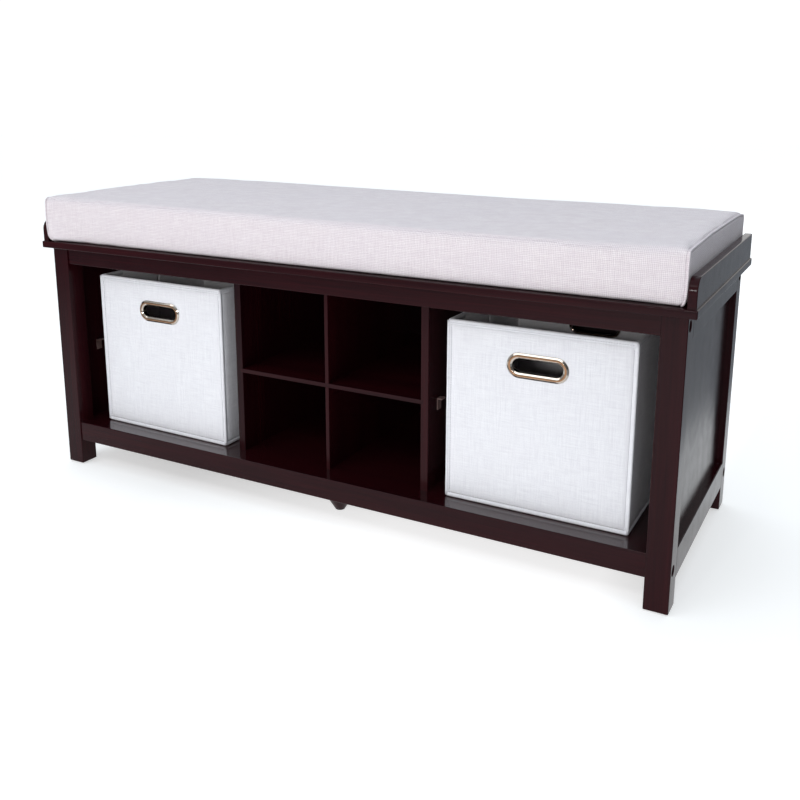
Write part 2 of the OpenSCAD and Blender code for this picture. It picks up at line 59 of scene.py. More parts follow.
class Shader:
    """A material's node tree. Most methods add nodes and return the socket that the last one gives."""

    def __init__(self, name):
        self.material = bpy.data.materials.new(name)
        self.material.use_nodes = True
        self.tree = self.material.node_tree
        self.surface = self.tree.nodes["Principled BSDF"]

    def plug(self, socket, value):
        """Links another socket to a socket, or sets a plain value there."""
        if isinstance(value, bpy.types.NodeSocket):
            self.tree.links.new(value, socket)
        else:
            socket.default_value = value

    def node(self, kind, sockets=(), **settings):
        """Adds a node. Its sockets are given by number or by name."""
        made = self.tree.nodes.new("ShaderNode" + kind)
        for key, value in settings.items():
            setattr(made, key, value)
        for key, value in dict(sockets).items():
            self.plug(made.inputs[key], value)
        return made

    def math(self, operation, *values):
        return self.node("Math", enumerate(values), operation=operation).outputs[0]

    def mix(self, factor, a, b):
        """A number between the numbers a and b."""
        return self.node("Mix", {0: factor, 2: a, 3: b}).outputs[0]

    def blend(self, factor, a, b):
        """A colour between the colours a and b."""
        return self.node("Mix", {0: factor, 6: a, 7: b}, data_type="RGBA").outputs[2]

    def range(self, value, low, high, to_low=0.0, to_high=1.0):
        """value, moved from the range low..high to the range to_low..to_high."""
        return self.node("MapRange", {0: value, 1: low, 2: high, 3: to_low, 4: to_high}).outputs[0]

    def point(self, scale=(1, 1, 1)):
        """The place on the object, in metres, stretched along each axis."""
        place = self.node("TexCoord").outputs["Object"]
        return self.node("Mapping", {"Vector": place, "Scale": scale}).outputs[0]

    def facing(self):
        """How far the surface faces along X, Y and Z, each from -1 to 1."""
        return self.node("SeparateXYZ", {0: self.node("TexCoord").outputs["Normal"]}).outputs

    def noise(self, vector, scale, detail=2.0, roughness=0.5):
        sockets = {"Vector": vector, "Scale": scale, "Detail": detail, "Roughness": roughness}
        return self.node("TexNoise", sockets).outputs[0]

    def bump(self, height, distance, strength):
        """Gives the surface the height, which is distance metres from its lowest to its highest."""
        sockets = {"Height": height, "Distance": distance, "Strength": strength}
        self.plug(self.surface.inputs["Normal"], self.node("Bump", sockets).outputs[0])

    def finish(self, **sockets):
        """Sets sockets of the Principled shader, named with _ for a space, and returns the material."""
        for key, value in sockets.items():
            self.plug(self.surface.inputs[key.replace("_", " ")], value)
        return self.material


def colour(red, green, blue):
    """A colour given as it looks on a screen, 0 to 255, in the linear numbers that shaders take."""
    linear = []
    for value in (red, green, blue):
        share = value / 255
        linear.append(((share + 0.055) / 1.055) ** 2.4 if value > 10 else share / 12.92)
    return (*linear, 1)


def along_grain(axis, along, across):
    """Scales for a texture that is stretched along one axis."""
    return tuple(along if i == axis else across for i in range(3))


def lacquered_wood(name, axis, gloss=0.0):
    """Dark stained wood under satin lacquer, its grain along an axis.

    gloss is how far its upper faces carry a glossy coat besides.
    """
    s = Shader(name)
    bands = s.noise(s.point(along_grain(axis, 1.2, 22)), 1, 3, 0.55)
    fibres = s.noise(s.point(along_grain(axis, 9, 420)), 1, 3, 0.6)
    clouds = s.noise(s.point(), 7, 2)
    tone = s.math("ADD", s.math("MULTIPLY", bands, 0.55), s.math("MULTIPLY", fibres, 0.45))
    stain = s.blend(s.range(tone, 0.36, 0.64), colour(26, 4, 8), colour(46, 9, 14))
    stain = s.blend(s.range(clouds, 0.35, 0.7, 0, 0.5), stain, colour(34, 7, 11))
    roughness = s.range(s.noise(s.point(), 45, 4), 0.3, 0.7, 0.15, 0.21)
    s.bump(s.math("ADD", fibres, s.math("MULTIPLY", bands, 2)), 0.00002, 0.3)
    if gloss:
        coat = s.range(s.facing()[2], 0.7, 0.95, 0, gloss)
        s.finish(Coat_Weight=coat, Coat_Roughness=0.12, Coat_IOR=1.5)
    return s.finish(Base_Color=stain, Roughness=roughness, IOR=1.22)


def hardboard():
    """A thin fibre board: dark lacquer on its front face, brown pressed fibres on its back."""
    s = Shader("hardboard")
    fibres = s.noise(s.point((1, 1, 1)), 900, 4, 0.7)
    flecks = s.noise(s.point((1, 1, 2.5)), 160, 3, 0.6)
    bare = s.blend(s.range(flecks, 0.3, 0.7), colour(74, 48, 32), colour(112, 76, 50))
    bare = s.blend(s.range(fibres, 0.35, 0.65), bare, colour(94, 62, 42))
    dark = s.blend(s.range(flecks, 0.3, 0.7), colour(22, 9, 10), colour(36, 14, 15))
    s.bump(fibres, 0.00015, 0.5)
    return s.finish(
        Base_Color=s.blend(s.range(s.facing()[1], -0.1, 0.1), dark, bare),
        Roughness=s.range(fibres, 0.3, 0.7, 0.5, 0.75), Specular_IOR_Level=0.3,
    )


def raw_wood():
    """Beech, as dowels are made of."""
    s = Shader("raw_wood")
    grain = s.noise(s.point((60, 60, 900)), 1, 3, 0.6)
    pores = s.noise(s.point(), 1800, 2)
    wood = s.blend(s.range(grain, 0.35, 0.65), colour(176, 136, 92), colour(214, 180, 134))
    s.bump(s.math("ADD", grain, pores), 0.0001, 0.4)
    return s.finish(Base_Color=wood, Roughness=s.range(pores, 0.3, 0.7, 0.5, 0.7))


def metal(name, dull, bright, roughness, scratches):
    """A metal whose tone and gloss vary a little over its surface."""
    s = Shader(name)
    fine = s.noise(s.point((1, 1, 6)), scratches, 3, 0.6)
    patches = s.noise(s.point(), 60, 2)
    tone = s.blend(s.range(patches, 0.3, 0.7), dull, bright)
    s.bump(fine, 0.00001, 0.15)
    low, high = roughness
    return s.finish(Base_Color=tone, Metallic=1.0, Roughness=s.range(fine, 0.3, 0.7, low, high))


def ring_metal():
    """Nickel plate, bright on the bevels, with a painted warm brown reflection on the crown of a ring
    between them.
    """
    s = Shader("ring_metal")
    fine = s.noise(s.point((1, 1, 6)), 900, 3, 0.6)
    patches = s.range(s.noise(s.point(), 60, 2), 0.3, 0.7)
    # The faces that look straight out, the crown, get a painted warm brown reflection; the bevels beside it
    # keep the nickel's own pale tone.
    crown = s.range(s.math("ABSOLUTE", s.facing()[1]), 0.9, 0.97)
    bevel_tone = s.blend(patches, colour(176, 166, 156), colour(190, 182, 173))
    crown_painted_reflection = s.blend(patches, colour(136, 101, 75), colour(152, 116, 88))
    s.bump(fine, 0.00001, 0.15)
    return s.finish(
        Base_Color=s.blend(crown, bevel_tone, crown_painted_reflection), Metallic=1.0,
        Roughness=s.range(fine, 0.3, 0.7, 0.07, 0.12),
    )


def moulded_plastic(name, dark, light):
    """Plastic with the fine grain of its mould."""
    s = Shader(name)
    grain = s.noise(s.point(), 2600, 2)
    tint = s.blend(s.range(s.noise(s.point(), 90, 2), 0.3, 0.7), dark, light)
    s.bump(grain, 0.00005, 0.35)
    return s.finish(Base_Color=tint, Roughness=s.range(grain, 0.3, 0.7, 0.34, 0.5))


def open_foam():
    """Upholstery foam with open cells."""
    s = Shader("cushion_foam")
    cells = s.node("TexVoronoi", {"Vector": s.point(), "Scale": 700}).outputs[0]
    s.bump(cells, 0.0006, 0.6)
    tint = s.blend(cells, colour(196, 180, 128), colour(240, 228, 184))
    return s.finish(Base_Color=tint, Roughness=0.95)


def grey_board():
    """The pressed board in a bin's walls."""
    s = Shader("bin_board")
    fibres = s.noise(s.point((1, 1, 3)), 600, 4, 0.7)
    s.bump(fibres, 0.0001, 0.5)
    tint = s.blend(s.range(fibres, 0.35, 0.65), colour(120, 112, 100), colour(158, 150, 136))
    return s.finish(Base_Color=tint, Roughness=0.85)


def woven(s, thread, uneven):
    """The height, 0 to 1, of a plain weave whose threads lie along the axes of the face they cover.

    thread is the distance between threads, and uneven is how far they wander, as a share of that distance.
    """
    drift = s.node("TexNoise", {"Vector": s.point(), "Scale": 0.35 / thread, "Detail": 2.0}).outputs[1]
    drift = s.node("VectorMath", {0: drift, 1: (0.5, 0.5, 0.5)}, operation="SUBTRACT").outputs[0]
    drift = s.node("VectorMath", {0: drift, "Scale": uneven * thread}, operation="SCALE").outputs[0]
    place = s.node("VectorMath", {0: s.point(), 1: drift}, operation="ADD").outputs[0]
    waves = []
    for wave in s.node("SeparateXYZ", {0: place}).outputs:
        waves.append(s.math("SINE", s.math("MULTIPLY", wave, math.pi / thread)))
    x, y, z = waves
    facing = s.facing()
    end_face = s.range(s.math("ABSOLUTE", facing[0]), 0.66, 0.74)
    top_face = s.range(s.math("ABSOLUTE", facing[2]), 0.66, 0.74)
    warp_wave = s.mix(end_face, x, y)
    weft_wave = s.mix(top_face, z, y)
    over = s.range(s.math("MULTIPLY", warp_wave, weft_wave), -0.15, 0.15)
    warp, weft = s.math("ABSOLUTE", warp_wave), s.math("ABSOLUTE", weft_wave)
    warp_high = s.math("MULTIPLY", s.math("POWER", warp, 0.6), s.math("MULTIPLY_ADD", weft, 0.4, 0.6))
    weft_high = s.math("MULTIPLY", s.math("POWER", weft, 0.6), s.math("MULTIPLY_ADD", warp, 0.4, 0.6))
    return s.mix(over, weft_high, warp_high)


def slubs(s, length, width):
    """Streaks of thicker thread along both directions of a cloth, 0 to 1."""
    level = s.noise(s.point((1 / length, 1 / length, 1 / width)), 1, 2, 0.55)
    upright = s.noise(s.point((1 / width, 1 / width, 1 / length)), 1, 2, 0.55)
    return s.math("ADD", s.math("MULTIPLY", level, 0.5), s.math("MULTIPLY", upright, 0.5))


def cushion_cloth():
    """Coarse woven upholstery cloth, off-white with pinkish shade between the threads."""
    s = Shader("cushion_fabric")
    weave = woven(s, 2.2 * MM, 0.9)
    streaks = slubs(s, 0.02, 0.0016)
    clouds = s.noise(s.point(), 14, 3)
    thread = s.blend(s.range(streaks, 0.35, 0.65), colour(224, 213, 217), colour(242, 235, 236))
    thread = s.blend(s.range(clouds, 0.3, 0.75, 0, 0.45), thread, colour(230, 222, 227))
    tint = s.blend(s.range(weave, 0.1, 0.75), colour(194, 180, 187), thread)
    s.bump(s.math("ADD", weave, s.math("MULTIPLY", streaks, 0.6)), 0.0006, 0.7)
    return s.finish(
        Base_Color=tint, Roughness=0.9, Specular_IOR_Level=0.2, Sheen_Weight=0.25, Sheen_Roughness=0.5,
    )


def bin_cloth():
    """Fine off-white linen with slubs."""
    s = Shader("bin_fabric")
    weave = woven(s, 1.0 * MM, 0.6)
    streaks = slubs(s, 0.03, 0.0013)
    clouds = s.noise(s.point(), 18, 3)
    thread = s.blend(s.range(streaks, 0.36, 0.62), colour(226, 225, 230), colour(245, 245, 248))
    thread = s.blend(s.range(clouds, 0.3, 0.75, 0, 0.4), thread, colour(234, 232, 236))
    tint = s.blend(s.range(weave, 0.05, 0.7), colour(196, 194, 200), thread)
    s.bump(s.math("ADD", weave, s.math("MULTIPLY", streaks, 1.5)), 0.0003, 0.6)
    return s.finish(
        Base_Color=tint, Roughness=0.92, Specular_IOR_Level=0.2, Sheen_Weight=0.15, Sheen_Roughness=0.5,
    )


def lining_cloth():
    """Light grey non-woven lining, pressed with a fine pattern of dots."""
    s = Shader("lining_fabric")
    dots = woven(s, 1.4 * MM, 0.2)
    fibres = s.noise(s.point(), 900, 3, 0.7)
    tint = s.blend(s.range(fibres, 0.3, 0.7), colour(222, 219, 221), colour(238, 236, 238))
    tint = s.blend(s.range(dots, 0.0, 0.5, 0.35, 0), tint, colour(196, 193, 196))
    s.bump(s.math("ADD", dots, fibres), 0.0003, 0.5)
    return s.finish(Base_Color=tint, Roughness=0.9, Specular_IOR_Level=0.25)


def sewing_thread():
    """White polyester thread."""
    s = Shader("thread")
    twist = s.noise(s.point(), 2500, 1)
    s.bump(twist, 0.0001, 0.5)
    tint = s.blend(twist, colour(150, 148, 155), colour(186, 184, 190))
    return s.finish(Base_Color=tint, Roughness=0.6, Sheen_Weight=0.2)


WOOD = [lacquered_wood("dark_wood_" + axis, i) for i, axis in enumerate("xyz")]
SHELF_WOOD = lacquered_wood("dark_wood_shelf", 0, 1.0)
LOOKS = {
    "hardboard": hardboard(),
    "raw_wood": raw_wood(),
    "steel": metal("steel", colour(150, 152, 156), colour(188, 190, 194), (0.22, 0.36), 1500),
    "black_steel": metal("black_steel", colour(30, 30, 32), colour(52, 52, 55), (0.3, 0.45), 1200),
    "glide_plastic": moulded_plastic("glide_plastic", colour(24, 20, 19), colour(36, 30, 28)),
    "peg_plastic": moulded_plastic("peg_plastic", colour(96, 74, 70), colour(114, 92, 88)),
    "cushion_fabric": cushion_cloth(),
    "cushion_foam": open_foam(),
    "bin_fabric": bin_cloth(),
    "lining_fabric": lining_cloth(),
    "bin_board": grey_board(),
    "ring_metal": ring_metal(),
}
THREAD = sewing_thread()

# ---- making pieces ----


def piece(name, mesh, body, slot, look=None, stands_for=()):
    """A mesh as a piece of the object that rides on a body."""
    made = bpy.data.objects.new(name, mesh)
    scene.collection.objects.link(made)
    mesh.materials.clear()
    mesh.materials.append(look or LOOKS[slot])
    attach(made, body)
    if stands_for:
        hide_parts(*stands_for)
    return made


def mesh_of(name, points, faces):
    """A smooth mesh from points and faces."""
    mesh = bpy.data.meshes.new(name)
    mesh.from_pydata([tuple(p) for p in points], [], faces)
    mesh.validate()
    mesh.polygons.foreach_set("use_smooth", [True] * len(mesh.polygons))
    mesh.update()
    return mesh


def points_of(mesh):
    """A mesh's points as an array of rows."""
    points = np.empty(len(mesh.vertices) * 3)
    mesh.vertices.foreach_get("co", points)
    return points.reshape(-1, 3)


def set_points(mesh, points):
    """Moves a mesh's points to the rows of an array."""
    mesh.vertices.foreach_set("co", np.asarray(points).ravel())
    mesh.update()


def normals_of(mesh):
    """The directions that a mesh's points face, as an array of rows."""
    normals = np.empty(len(mesh.vertices) * 3)
    mesh.vertex_normals.foreach_get("vector", normals)
    return normals.reshape(-1, 3)


def applied(made):
    """Replaces an object's mesh by what its modifiers make of it."""
    graph = bpy.context.evaluated_depsgraph_get()
    mesh = bpy.data.meshes.new_from_object(made.evaluated_get(graph), depsgraph=graph)
    made.modifiers.clear()
    made.data = mesh
    return mesh


def even_normals(made):
    """Keeps wide flat faces flat beside their rounded edges."""
    weighted = made.modifiers.new("even_normals", "WEIGHTED_NORMAL")
    weighted.keep_sharp = True


def sweep(path, outwards, upwards, profile, closed=True):
    """Points and faces of a closed profile, moved along a path.

    Each profile point is (out, up): distances along the outward and the upward direction at a path point.
    """
    points, faces = [], []
    for place, out, up in zip(path, outwards, upwards):
        points += [place + out * a + up * b for a, b in profile]
    n, rows = len(profile), len(path)
    for i in range(rows if closed else rows - 1):
        for j in range(n):
            a, b = i * n + j, i * n + (j + 1) % n
            c, d = (a + n) % (rows * n), (b + n) % (rows * n)
            faces.append((a, b, d, c))
    if not closed:
        faces += [tuple(range(n))[::-1], tuple(range((rows - 1) * n, rows * n))]
    return points, faces


def round_profile(radius, sides, tall=1.0):
    """A circle, or an upright oval, as profile points."""
    turns = [2 * math.pi * i / sides for i in range(sides)]
    return [(radius * math.cos(t), radius * tall * math.sin(t)) for t in turns]


def add_shape(points, faces, new_points, new_faces):
    """Adds one more shape to the points and faces of others."""
    faces += [tuple(len(points) + i for i in face) for face in new_faces]
    points += new_points


# ---- the wooden frame ----

GRAIN_X = [
    "seat_board", "front_apron", "rear_apron", "front_lower_rail", "rear_lower_rail", "bottom_shelf",
    "cubby_shelf",
]
GRAIN_Y = [side + "_" + part for side in SIDES
           for part in ("end_rail", "top_rail", "lower_rail", "board_batten")]
GRAIN_Z = ["cubby_upright"]
GRAIN_Z += [side + "_" + part for side in SIDES for part in ("side_panel", "divider")]
GRAIN_Z += [end + "_" + part for end in ("front", "rear")
            for part in ("left_leg", "right_leg", "centre_foot")]
GLOSSY = ("bottom_shelf", "front_lower_rail")
EASING = {"seat_board": 1.5 * MM, "cubby_upright": 0.7 * MM, "cubby_shelf": 0.7 * MM}
USUAL_EASING = 1.2 * MM
WOODEN = {node: grain for grain, nodes in enumerate((GRAIN_X, GRAIN_Y, GRAIN_Z)) for node in nodes}
COVERING = {node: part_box(node) for node in [*WOODEN, "back_panel"]}


def inside(point, box):
    return all(low < p < high for p, low, high in zip(point, *box))


def covered(edge, node):
    """True if another wooden part lies against one of the faces beside the edge."""
    middle = (edge.verts[0].co + edge.verts[1].co) / 2
    near = 0.4 * MM
    for face in edge.link_faces:
        other = edge.link_faces[0] if face == edge.link_faces[1] else edge.link_faces[1]
        place = middle + face.normal * near - other.normal * near
        if any(inside(place, box) for name, box in COVERING.items() if name != node):
            return True
    return False


def wooden_part(node, grain):
    """The CAD part with the edges that show rounded, as sanding and lacquer leave them."""
    shape = bmesh.new()
    shape.from_mesh(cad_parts[node].data)
    bmesh.ops.remove_doubles(shape, verts=shape.verts, dist=0.01 * MM)
    bmesh.ops.dissolve_limit(shape, angle_limit=math.radians(1), verts=shape.verts, edges=shape.edges)
    shape.normal_update()
    corner = math.radians(50)
    edges = [e for e in shape.edges if len(e.link_faces) == 2 and e.is_convex
             and e.calc_face_angle(0) > corner and not covered(e, node)]
    bmesh.ops.bevel(shape, geom=edges, offset=EASING.get(node, USUAL_EASING), offset_type="OFFSET",
                    segments=3, profile=0.5, affect="EDGES", clamp_overlap=False)
    for face in shape.faces:
        face.smooth = True
    for edge in shape.edges:
        edge.smooth = len(edge.link_faces) == 2 and edge.calc_face_angle(0) < math.radians(38)
    mesh = bpy.data.meshes.new(node + "_finished")
    shape.to_mesh(mesh)
    shape.free()
    look = SHELF_WOOD if node in GLOSSY else WOOD[grain]
    made = piece(node + "_finished", mesh, "bench", "dark_wood", look, [node])
    even_normals(made)


for node, grain in WOODEN.items():
    wooden_part(node, grain)

# ---- CAD parts that show as they are ----

KEPT = {
    "back_panel": "hardboard", "foot_bolts": "steel", "leg_glides": "glide_plastic",
    "foot_glides": "glide_plastic", "leg_bolts": "black_steel", "barrel_nuts": "steel",
    "side_frame_dowels": "raw_wood", "rail_dowels": "raw_wood",
    "shelf_dowels": "raw_wood", "divider_dowels": "raw_wood", "end_rail_dowels": "raw_wood",
    "batten_screws": "steel", "back_panel_screws": "steel", "shelf_pegs": "peg_plastic",
    "left_bin_wall_boards": "bin_board", "right_bin_wall_boards": "bin_board",
}
for node, slot in KEPT.items():
    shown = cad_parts[node]
    for material_slot in shown.material_slots:
        material_slot.material = LOOKS[slot]

# ---- cushion ----

CUSHION_LOW, CUSHION_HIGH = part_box("cushion_cover")
CELL = 7 * MM
PANEL_ROUND = 9 * MM
SEAM_ROUND = 4 * MM
DEPTH_HALF = 193 * MM
SWELL = 3 * MM
LEFT_LEAN = 1 * MM
FRONT_LEAN = 9.5 * MM
TUCK = 7 * MM
LEFT_TUCK = 10 * MM
MIDDLE_LIFT = 0.9 * MM
LIFT_SLOPE = 0.0088
CORNER_DROP = 3 * MM
FRONT_DROP = 4.5 * MM
LOWER_ROUND = 17 * MM
SQUASHED = 24 * MM
DRAWN_IN = 0.15
RAIL_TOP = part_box("left_end_rail")[1].z
RAIL_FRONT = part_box("left_end_rail")[0].y
RAIL_ROUND = 17 * MM
RAIL_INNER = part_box("right_end_rail")[0].x


def box_grid(counts):
    """The grid points on a box of cells, as {(i, j, k): number}, and the square faces between them."""
    index, faces = {}, []
    for axis in range(3):
        u, v = (axis + 1) % 3, (axis + 2) % 3
        for end in (0, counts[axis]):
            for a in range(counts[u]):
                for b in range(counts[v]):
                    numbers = []
                    for da, db in ((0, 0), (1, 0), (1, 1), (0, 1)):
                        key = [0, 0, 0]
                        key[axis], key[u], key[v] = end, a + da, b + db
                        numbers.append(index.setdefault(tuple(key), len(index)))
                    faces.append(numbers if end else numbers[::-1])
    return index, faces


def edge_dense(length, cell):
    """Stations from 0 to a length, about a cell apart, and closer together near both ends."""
    near = [0, 2.4 * MM, 4.8 * MM, 8 * MM, 13 * MM]
    middle = length - 2 * near[-1]
    n = round(middle / cell)
    between = [near[-1] + middle * i / n for i in range(n + 1)]
    return near[:-1] + between + [length - d for d in near[-2::-1]]


def rounded_box(index, stations, low, outline_radius, radius):
    """Where a box grid's points go on a box with rounded edges.

    Its outline, seen along X, has corners of outline_radius, and the edges round its two X ends have the
    other radius. Stations are distances from low along each axis.
    """
    flat = np.array([[low[a] + stations[a][key[a]] for a in range(3)] for key in index])
    low, high = np.array(low), np.array([low[a] + stations[a][-1] for a in range(3)])
    core = np.clip(flat[:, 1:], low[1:] + outline_radius, high[1:] - outline_radius)
    away = (flat[:, 1:] - core) / outline_radius
    away = away * np.sqrt(1 - away[:, ::-1] ** 2 / 2)
    size = np.linalg.norm(away, axis=1, keepdims=True)
    outwards = away / np.maximum(size, 1e-9)
    depth = np.minimum(flat - low, high - flat)
    off_out = np.maximum(radius - depth[:, 1:].min(1, keepdims=True), 0)
    off_end = np.maximum(radius - depth[:, :1], 0) * np.sign(flat[:, :1] - (low[0] + high[0]) / 2)
    length = np.maximum(np.hypot(off_out, off_end), 1e-9)
    across = core + away * outline_radius - outwards * off_out
    along = np.clip(flat[:, :1], low[0] + radius, high[0] - radius)
    return np.hstack([along + off_end / length * radius, across + outwards * off_out / length * radius])


def inflate(made, most):
    """Fills a piece by cloth simulation. No point moves further than most.

    Where the filling would draw the edges in, they nearly keep their place, held by seams and firm foam.
    """
    start = points_of(made.data)
    cloth = made.modifiers.new("filling", "CLOTH")
    cloth.settings.use_pressure = True
    cloth.settings.uniform_pressure_force = 4
    cloth.settings.effector_weights.gravity = 0
    cloth.settings.tension_stiffness = 25
    cloth.settings.compression_stiffness = 25
    cloth.settings.bending_stiffness = 2
    for step in range(1, 21):
        scene.frame_set(step)
    moved = points_of(applied(made)) - start
    for axis in range(3):
        inwards = moved[:, axis] * start[:, axis] < 0 if axis < 2 else moved[:, axis] < 0
        moved[inwards, axis] *= DRAWN_IN
    length = np.linalg.norm(moved, axis=1, keepdims=True)
    set_points(made.data, start + moved * most * np.tanh(length / most) / np.maximum(length, 1e-9))
    scene.frame_set(1)


def smooth_step(value, low, high):
    """0 up to low, 1 from high on, and a smooth rise between them."""
    share = np.clip((value - low) / (high - low), 0, 1)
    return share * share * (3 - 2 * share)


def settle(points):
    """Lays the swollen cushion on the board, between the end rails.

    It is a little thicker to the left and to the rear, its lower corners are drawn in, and its left end
    bulges out past the front of the rail.
    """
    x, y, z = points.T.copy()
    height = np.maximum(z - CUSHION_LOW.z, 0)
    low = np.clip(1 - height / LOWER_ROUND, 0, 1) ** 2
    limit = RAIL_INNER - 0.4 * MM
    left, right = (smooth_step(way * x, limit - 0.08, limit) for way in (-1, 1))
    z = CUSHION_LOW.z + height * (0.4 + 0.6 * smooth_step(height, 0, SQUASHED))
    raised = smooth_step(z, CUSHION_LOW.z + 20 * MM, CUSHION_HIGH.z)
    z += raised * (MIDDLE_LIFT - LIFT_SLOPE * np.minimum(x, 0.2))
    z -= raised * CORNER_DROP * smooth_step(y, 0.155, 0.193) * (left + right)
    z -= raised * FRONT_DROP * smooth_step(-y, 0, 0.18) * (1 - 0.5 * left - 0.5 * right)
    y -= FRONT_LEAN * left * smooth_step(-y, 0.15, 0.188) * (1 - low)
    drop = np.clip((RAIL_FRONT + RAIL_ROUND - y) / RAIL_ROUND, 0, 1)
    rail = RAIL_TOP - RAIL_ROUND * (1 - np.sqrt(1 - drop * drop))
    above = smooth_step(z, rail + 0.5 * MM, rail + 10 * MM)
    free = np.maximum(above, smooth_step(RAIL_FRONT - y, 1.2 * MM, 2.4 * MM))
    x = np.clip(x, -limit, limit) * (1 - free) + (x - left * LEFT_LEAN) * free
    x += low * (LEFT_TUCK * left - TUCK * right)
    return np.stack([x, y, z], 1)


def ripple(points, size, seed):
    """A smooth random value from about -1 to 1 at each point; size is the distance between ripples."""
    shift = Vector((seed, -seed, 2 * seed))
    return np.array([noise.noise(Vector(p) / size + shift) for p in points])


def seam_profile(near):
    """How far cloth sinks in beside a seam.

    near is 1 on the seam, 0.5 in the groove beside it and 0 further off.
    """
    return 1.1 * MM * np.abs(2 * near - 1) - 1.1 * MM


def ring_keys(i, counts, inset=0):
    """The grid keys round a box grid at station i, in order, or further in on its end face."""
    a, ny, nz = inset, counts[1] - inset, counts[2] - inset
    keys = [(i, j, a) for j in range(a, ny)] + [(i, ny, k) for k in range(a, nz)]
    return keys + [(i, j, nz) for j in range(ny, a, -1)] + [(i, a, k) for k in range(nz, a, -1)]


def seam_cord(name, path, radius, middle, body, slot):
    """A sewn ridge of cloth round a closed path, standing away from the middle."""
    alongs = [ahead - behind for ahead, behind in zip(path[1:] + path[:1], path[-1:] + path[:-1])]
    ups = [along.cross((p - middle).normalized()).normalized() for p, along in zip(path, alongs)]
    outwards = [up.cross(along).normalized() for up, along in zip(ups, alongs)]
    points, faces = sweep(path, outwards, ups, round_profile(radius, 8))
    piece(name, mesh_of(name, points, faces), body, slot)


def padded_box(name, inset, cell, slot, stands_for):
    """A box the size of the cushion, less an inset on every side. Returns it, its grid and its counts."""
    tall = CUSHION_HIGH.z - CUSHION_LOW.z - 2 * inset
    sizes = (2 * (RAIL_INNER - 0.5 * MM - inset), 2 * (DEPTH_HALF - inset), tall)
    stations = [edge_dense(length, cell) for length in sizes]
    counts = [len(line) - 1 for line in stations]
    index, faces = box_grid(counts)
    low = (-sizes[0] / 2, -sizes[1] / 2, CUSHION_LOW.z + inset)
    start = rounded_box(index, stations, low, PANEL_ROUND, SEAM_ROUND)
    made = piece(name, mesh_of(name, start, faces), "cushion", slot, stands_for=stands_for)
    return made, index, counts


def end_seams(mesh, rings):
    """The sewn ridges round both ends of the cover, each along a ring of the mesh's points."""
    for side, ring in zip(SIDES, rings):
        path = [mesh.vertices[n].co + mesh.vertices[n].normal * 0.3 * MM for n in ring]
        for place in path:
            place.z = max(place.z, CUSHION_LOW.z + 1.3 * MM)
        middle = Vector((path[0].x * 0.94, 0, (CUSHION_LOW.z + CUSHION_HIGH.z) / 2))
        seam_cord("cushion_" + side + "_end_seam", path, 1.4 * MM, middle, "cushion", "cushion_fabric")


def cushion():
    """The cover: filled by simulation, laid between the end rails, and then given its seams."""
    made, index, counts = padded_box("cushion_cover_sewn", 0, CELL, "cushion_fabric", ["cushion_cover"])
    inflate(made, SWELL)
    set_points(made.data, settle(points_of(made.data)))
    rings = [[index[key] for key in ring_keys(i, counts)] for i in (0, counts[0])]
    seam = made.vertex_groups.new(name="seam")
    seam.add([n for ring in rings for n in ring], 1.0, "REPLACE")
    for i, beside in ((0, 1), (counts[0], counts[0] - 1)):
        groove_keys = ring_keys(i, counts, 1) + ring_keys(beside, counts)
        seam.add([index[key] for key in groove_keys], 0.5, "REPLACE")
    finer = made.modifiers.new("finer", "SUBSURF")
    finer.levels = finer.render_levels = 1
    mesh = applied(made)
    near = np.zeros(len(mesh.vertices))
    for vertex in mesh.vertices:
        near[vertex.index] = sum(g.weight for g in vertex.groups)
    points, normals = points_of(mesh), normals_of(mesh)
    resting = smooth_step(points[:, 2], CUSHION_LOW.z, CUSHION_LOW.z + 10 * MM)
    swell = seam_profile(np.clip(near, 0, 1)) + resting * 0.5 * MM * ripple(points, 0.07, 3)
    ends = smooth_step(np.abs(points[:, 0]), CUSHION_HIGH.x - 0.03, CUSHION_HIGH.x)
    swell += resting * ends * 0.5 * MM * ripple(points, 0.012, 7)
    points = points + normals * swell[:, None]
    points[:, 2] = np.maximum(points[:, 2], CUSHION_LOW.z)
    set_points(mesh, points)
    end_seams(mesh, rings)


def cushion_block():
    """The foam inside the cover."""
    made, _, _ = padded_box("cushion_foam_block", 4.5 * MM, 20 * MM, "cushion_foam", ["cushion_foam"])
    set_points(made.data, settle(points_of(made.data)))


cushion()
cushion_block()

# ---- bins ----

BIN_HALF = 130 * MM
BIN_TALL = 260 * MM
BIN_ROUND = 3.5 * MM
CLOTH = 1.2 * MM
WALL_BOARD = 3 * MM
LINING = 0.8 * MM
LINING_HALF = BIN_HALF - CLOTH - WALL_BOARD
RIM_HALF = LINING_HALF - LINING
RING_Z = 207.5 * MM
SLOT_HALF = 25.5 * MM
RING_OUT = 17.5 * MM
RING_IN = 9.5 * MM
RING_PROUD = 2.0 * MM
BARREL = 1.0 * MM
HOLE_X = 36.2 * MM
HOLE_Z = 10.7 * MM
TAUT = 30 * MM
HEM = 6.6 * MM
SEAM = 124.6 * MM


def bin_place(side):
    """The matrix from a bin's own frame to where the CAD has that bin."""
    low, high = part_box(side + "_bin_cover")
    rings = points_of(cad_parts[side + "_bin_rings"].data)
    middle_y = (low.y + high.y) / 2
    front, rear = rings[rings[:, 1] < middle_y], rings[rings[:, 1] > middle_y]
    ahead = (rear.min(0) + rear.max(0) - front.min(0) - front.max(0)) / 2
    turn = math.atan2(-ahead[0], ahead[1])
    return Matrix.Translation(((low.x + high.x) / 2, middle_y, low.z)) @ Matrix.Rotation(turn, 4, "Z")


BIN_PLACE = {side: bin_place(side) for side in SIDES}


def bin_piece(side, part, points, faces, slot="bin_fabric", look=None, stands_for=(), body="bin"):
    """A piece of a bin, made in the bin's own frame. Its names are given without the bin's."""
    name = side + "_bin_" + part
    mesh = mesh_of(name, [BIN_PLACE[side] @ Vector(p) for p in points], faces)
    return piece(name, mesh, side + "_" + body, slot, look, [side + "_bin_" + node for node in stands_for])


